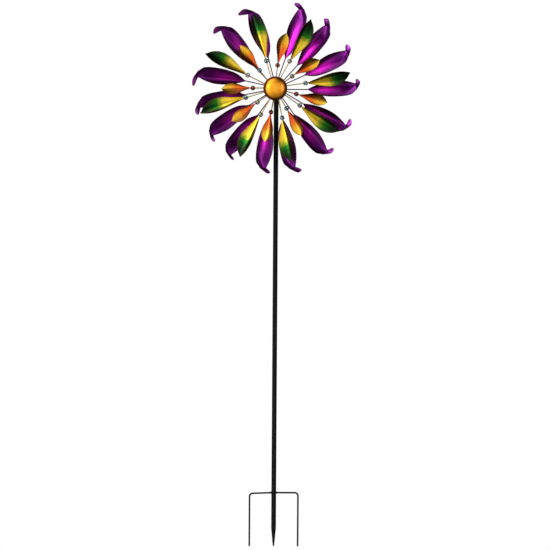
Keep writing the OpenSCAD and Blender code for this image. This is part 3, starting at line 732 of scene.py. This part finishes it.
def build_petals():
    for k, row in enumerate(PETALS, 1):
        root, tip, hook, corner = (polar(*row[i : i + 2]) for i in range(0, 8, 2))
        place, heading, length = sheet_frame(root, tip, PETAL_PITCH, REAR_Y)
        hook, corner = (into_frame(point, root, heading) for point in (hook, corner))
        grid, uv = add_hook(*blade_grid(length, PETAL_SHAPE, petal_fold), hook, corner)
        skin = sheet_object(f"petal_skin_{k:02d}", grid, uv, place)
        finish_piece(skin, PURPLE, "rear_wheel", f"purple_petal_{k:02d}")


def build_leaves(colour, rows, shape, pitch, material):
    for k, row in enumerate(rows, 1):
        root, tip = polar(*row[1:3]), polar(*row[3:5])
        place, _, length = sheet_frame(root, tip, pitch, FRONT_Y)
        grid, uv = blade_grid(length, shape, leaf_fold)
        skin = sheet_object(f"{colour}_skin_{k}", grid, uv, place)
        finish_piece(skin, material, "front_wheel", f"{colour}_leaf_{k}")


build_petals()
build_leaves("green", GREENS, GREEN_SHAPE, GREEN_PITCH, GREEN)
build_leaves("orange", ORANGES, ORANGE_SHAPE, ORANGE_PITCH, ORANGE)

# ---------------------------------------------------------------- turned pieces: dome and beads


def build_dome():
    """A thin shell, open at the back: a straight skirt and a superelliptic cap."""
    lo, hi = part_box("front_dome")
    radius = (hi.x - lo.x) / 2
    wall, skirt = 0.00128, 0.005
    cap_height = hi.y - lo.y - skirt
    fullness = 2.5  # the superellipse's exponent; 2 is an ellipse
    cap_steps = 72

    def cap(r, height):
        points = []
        for i in range(cap_steps):
            a = math.pi / 2 * i / cap_steps
            across, up = math.cos(a) ** (2 / fullness), math.sin(a) ** (2 / fullness)
            points.append((r * across, skirt + height * up))
        return points + [(0.0, skirt + height)]

    inside = cap(radius - wall, cap_height - wall)
    # a small round on the skirt's edge
    lip = [
        (radius - wall + wall / 2 * (1 - math.cos(a)), wall / 2 * (1 - math.sin(a)))
        for a in np.linspace(0, math.pi, 9)
    ]
    profile = inside[::-1] + lip + cap(radius, cap_height)
    base = Vector((0, hi.y, HUB_Z))

    def place(v):
        return base + Vector((v.x, -v.z, v.y))

    verts, faces = [], []
    lathe(profile, 192, place, verts, faces, closed=False)
    skin = turned_object("dome_skin", verts, faces)
    finish_piece(skin, DOME, "front_wheel", "front_dome")


def bead_place(row):
    """Places a bead's axis along the leaf's stem."""
    stem_angle, root_angle, root_r, tip_angle, tip_r, bead_radius = row
    start = polar(stem_angle, STEM_START_R)
    root = polar(root_angle, root_r)
    tip = polar(tip_angle, tip_r)
    bend = root + (tip - root) / np.linalg.norm(tip - root) * STEM_BEND
    stem = bend - start
    share = (bead_radius - STEM_START_R) / (np.linalg.norm(bend) - STEM_START_R)
    middle = start + stem * share
    axis = stem / np.linalg.norm(stem)
    c, s = math.cos(math.radians(WHEEL_TURN)), math.sin(math.radians(WHEEL_TURN))

    def place(v):
        x = middle[0] + axis[0] * v.z - axis[1] * v.x
        y = middle[1] + axis[1] * v.z + axis[0] * v.x
        x, y = x * c - y * s, x * s + y * c
        return Vector((x / 1000, FRONT_Y - v.y / 1000, HUB_Z + y / 1000))

    return place


def build_beads(colour, rows, material):
    hole = ROD_R + 0.1
    lip_r = 0.35
    straight = 0.8  # from the bead's end to the first ring of the hole's wall
    start = math.asin((hole + lip_r) / BEAD_R)
    outside = [
        (BEAD_R * math.sin(a), -BEAD_R * math.cos(a))
        for a in np.linspace(start, math.pi - start, 40)
    ]
    end = -outside[0][1]
    # the drilled hole, with its lips fire-polished round
    lip = [
        (hole + lip_r * (1 - math.sin(a)), end - lip_r * (1 - math.cos(a)))
        for a in np.linspace(0.2, math.pi / 2, 5)
    ]
    inside = [(hole, z) for z in np.linspace(end - straight, straight - end, 9)]
    profile = outside + lip + inside + [(r, -z) for r, z in reversed(lip)]
    verts, faces = [], []
    for row in rows:
        lathe(profile, 56, bead_place(row), verts, faces, closed=True)
    skin = turned_object(f"{colour}_glass", verts, faces)
    finish_piece(skin, material, "front_wheel", f"{colour}_beads")


build_dome()
build_beads("red", ORANGES[::2], GLASS_RED)
build_beads("teal", GREENS[1::2] + ORANGES[3::4], GLASS_TEAL)
build_beads("clear", GREENS[::2] + ORANGES[1::4], GLASS_CLEAR)

# ---------------------------------------------------------------- CAD nodes that keep their shape

PAINT = [
    (BLACK, "ground_stake stake_fork lower_pole middle_pole upper_pole"),
    (PLASTIC, "pole_cap"),
    (ZINC, "axle_sleeve axle_bolt axle_nuts axle_washers hub_spacer bearing_spacers"),
    (BEARING, "inner_races rear_outer_races front_outer_races rear_balls front_balls"),
    (BRASS, "rear_cages front_cages"),
    (ZINC, "rear_hub_barrel front_hub_barrel"),
    (PURPLE_ROD, "rear_hub_plate"),
    (HUB_PAINT, "front_hub_plate"),
    (PURPLE_ROD, "purple_stems"),
    (GOLD_ROD, "green_leaf_stems"),
    (ORANGE_ROD, "orange_leaf_stems"),
]
for material, names in PAINT:
    for name in names.split():
        paint(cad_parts[name], material)

# ---------------------------------------------------------------- floor


def pale_floor():
    t = Material("pale_floor")
    n = t.remap(t.noise(scale=3), span=(0.3, 0.7))
    base = t.mix(n, (0.93, 0.93, 0.93), (0.96, 0.96, 0.96))
    t.set(Base_Color=base, Roughness=0.9, Specular_IOR_Level=0.1)
    # lit from within so that it stays pale in the frame without lighting the petals
    emission = t.node("Emission", {"Color": (1, 1, 1), "Strength": 1.05}).outputs[0]
    seen = t.math("MULTIPLY", t.node("LightPath").outputs["Is Camera Ray"], 0.88)
    glow = t.mix_shader(seen, t.shader.outputs[0], emission)
    # the sweep is only seen from its front, so it never hides the object from other sides
    backfacing = t.node("NewGeometry").outputs["Backfacing"]
    clear = t.node("BsdfTransparent").outputs[0]
    t.feed(t.surface, t.mix_shader(backfacing, glow, clear))
    return t.material


def build_floor():
    """A floor that sweeps up into a backdrop."""
    base = cad_box[0][2]
    near_y, sweep_y, sweep_r, top, half_width = -9.0, 2.2, 1.4, 7.0, 7
    sweep_steps = 12
    profile = [(near_y, 0.0), (sweep_y, 0.0)]
    for i in range(1, sweep_steps + 1):
        a = math.pi / 2 * i / sweep_steps
        profile.append((sweep_y + sweep_r * math.sin(a), sweep_r * (1 - math.cos(a))))
    profile.append((sweep_y + sweep_r, top))
    verts = [(x, y, base + z) for y, z in profile for x in (-half_width, half_width)]
    faces = [(i, i + 1, i + 3, i + 2) for i in range(0, 2 * len(profile) - 2, 2)]
    mesh = bpy.data.meshes.new("floor")
    mesh.from_pydata(verts, [], faces)
    floor = add_object("floor", mesh)
    mesh.materials.append(pale_floor())
    floor.visible_glossy = False
    floor.visible_transmission = False


build_floor()

# ---------------------------------------------------------------- lights and world


def softbox(name, location, size, power):
    """A rectangular light aimed at the front wheel's centre."""
    data = bpy.data.lights.new(name, "AREA")
    data.shape = "RECTANGLE"
    data.size, data.size_y = size
    data.energy = power
    light = bpy.data.objects.new(name, data)
    light.location = location
    aim = Vector((0, FRONT_Y, HUB_Z)) - Vector(location)
    light.rotation_euler = aim.to_track_quat("-Z", "Y").to_euler()
    light.visible_camera = False
    bpy.context.scene.collection.objects.link(light)


softbox("key", location=(-2.4, -3.0, 2.6), size=(1.5, 1.9), power=30)
softbox("fill", location=(2.4, -3.0, 1.8), size=(1.0, 2.0), power=14)

# Soft boxes painted on the world, in degrees: level, then azimuth (positive to the viewer's
# right) and elevation, each as centre, half width, soft edge
BOXES = [
    (1.1, -2, 16, 14, 4, 14, 12),
    (0.9, -46, 14, 14, -4, 26, 14),
    (2.6, -44, 3, 9, 2, 14, 14),
    (0.35, 46, 14, 14, 0, 22, 14),
    (1.6, 42, 3, 8, 6, 10, 12),
    (2.6, -42, 24, 18, 56, 13, 9),
    (0.22, 0, 60, 20, -44, 12, 12),
    (0.7, 150, 16, 14, 8, 20, 16),
    (0.7, -150, 16, 14, 8, 20, 16),
]
AMBIENT = 0.03  # level between the boxes
# what glass sees: the backdrop's level, its inner and outer angle from +Y, and the dark beyond
BACKDROP_LEVEL, BACKDROP_ANGLES, DARK_LEVEL = 1.5, (9, 32), 0.008


def build_world():
    """A studio of soft boxes: reflections see them by direction, the camera sees plain white."""
    world = bpy.data.worlds.new("studio")
    bpy.context.scene.world = world
    t = Nodes(world, "OutputWorld")
    x, y, z = t.separate(t.node("TexCoord").outputs["Generated"])
    azimuth = t.math("ARCTAN2", x, t.math("MULTIPLY", y, -1.0))
    azimuth = t.math("MULTIPLY", azimuth, 180 / math.pi)
    elevation = t.math("MULTIPLY", t.math("ARCSINE", z), 180 / math.pi)

    def fall(value, full, none):
        return t.remap(value, span=(full, none), to=(1.0, 0.0), interpolation="SMOOTHSTEP")

    def band(angle, middle, half, soft):
        away = t.math("ABSOLUTE", t.math("SUBTRACT", angle, middle))
        return fall(away, half, half + soft)

    def background(strength):
        return t.node("Background", {"Color": (1, 1, 1), "Strength": strength}).outputs[0]

    total = AMBIENT
    for level, *box in BOXES:
        shape = t.math("MULTIPLY", band(azimuth, *box[:3]), band(elevation, *box[3:]))
        total = t.math("ADD", t.math("MULTIPLY", shape, level), total)
    # glass looks through to the white backdrop, and past its sides into the dark of the studio
    backdrop = fall(t.math("ARCCOSINE", y), *map(math.radians, BACKDROP_ANGLES))
    backdrop = t.math("ADD", t.math("MULTIPLY", backdrop, BACKDROP_LEVEL), DARK_LEVEL)
    rays = t.node("LightPath").outputs
    seen = t.mix_shader(rays["Is Transmission Ray"], background(total), background(backdrop))
    t.feed(t.surface, t.mix_shader(rays["Is Camera Ray"], seen, background(1.0)))


build_world()

# ---------------------------------------------------------------- camera

scene = bpy.context.scene
scene.view_settings.view_transform = "Standard"
scene.view_settings.look = "None"

CAMERA_DISTANCE = 40.0
VIEW_WIDTH = 1.9294  # across the frame at the object
SENSOR = 36  # mm
CAMERA_ROLL = math.radians(-0.36)
CAMERA_TURN = math.radians(2.0)  # towards the viewer's right
LOOK_AT = Vector((0.0012, FRONT_Y * 0.5, 0.7682))


def build_camera():
    data = bpy.data.cameras.new("camera")
    data.sensor_width = SENSOR
    data.lens = SENSOR * CAMERA_DISTANCE / VIEW_WIDTH
    data.clip_end = 100
    camera = bpy.data.objects.new("camera", data)
    scene.collection.objects.link(camera)
    away = Vector((math.sin(CAMERA_TURN), -math.cos(CAMERA_TURN), 0))
    camera.location = LOOK_AT + CAMERA_DISTANCE * away
    camera.rotation_euler = (math.pi / 2, CAMERA_ROLL, CAMERA_TURN)
    scene.camera = camera


build_camera()
